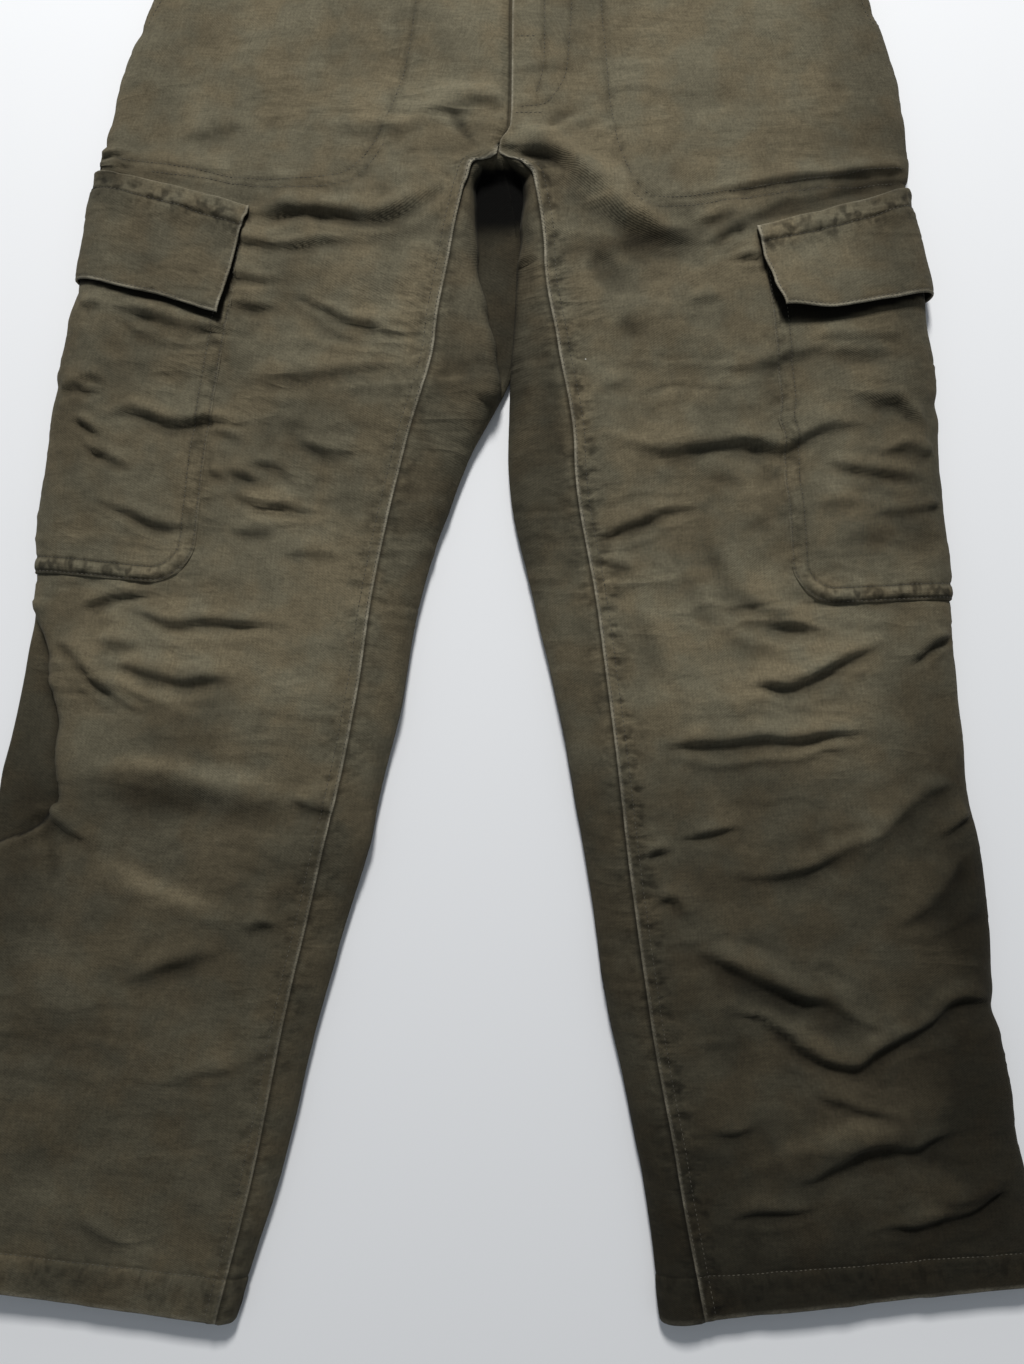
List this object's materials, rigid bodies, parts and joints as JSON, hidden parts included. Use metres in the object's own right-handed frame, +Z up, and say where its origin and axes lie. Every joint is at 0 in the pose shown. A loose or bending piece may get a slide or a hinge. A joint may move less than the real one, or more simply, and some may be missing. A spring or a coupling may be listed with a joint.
{
  "type": "cargo pants",
  "caption": "Adult cargo pants lying flat on their back, legs a little apart: fly, slant hip pockets and flapped patch pockets round the outer thighs.",
  "frame": {"origin": "middle of the bounding box, on the surface that the garment lies on", "axes": "+Y towards the waist, +Z up, out of the front of the garment; the wearer's right leg is at -X"},
  "size_m": [0.773, 1.086, 0.0236],
  "materials": {
    "canvas": "brushed olive-drab cotton canvas, matt, a little worn along the seams",
    "zip_tape": "dark woven tape",
    "button": "dark horn-like plastic, satin"
  },
  "bodies": {
    "root": {"right_front_panel": "canvas", "left_front_panel": "canvas", "right_back_panel": "canvas", "left_back_panel": "canvas", "waistband": "canvas", "waist_button": "button", "fly_zip": "zip_tape", "right_hip_pocket": "canvas", "left_hip_pocket": "canvas", "right_cargo_pocket": "canvas", "left_cargo_pocket": "canvas", "right_cargo_flap": "canvas", "left_cargo_flap": "canvas"}
  },
  "joints": []
}
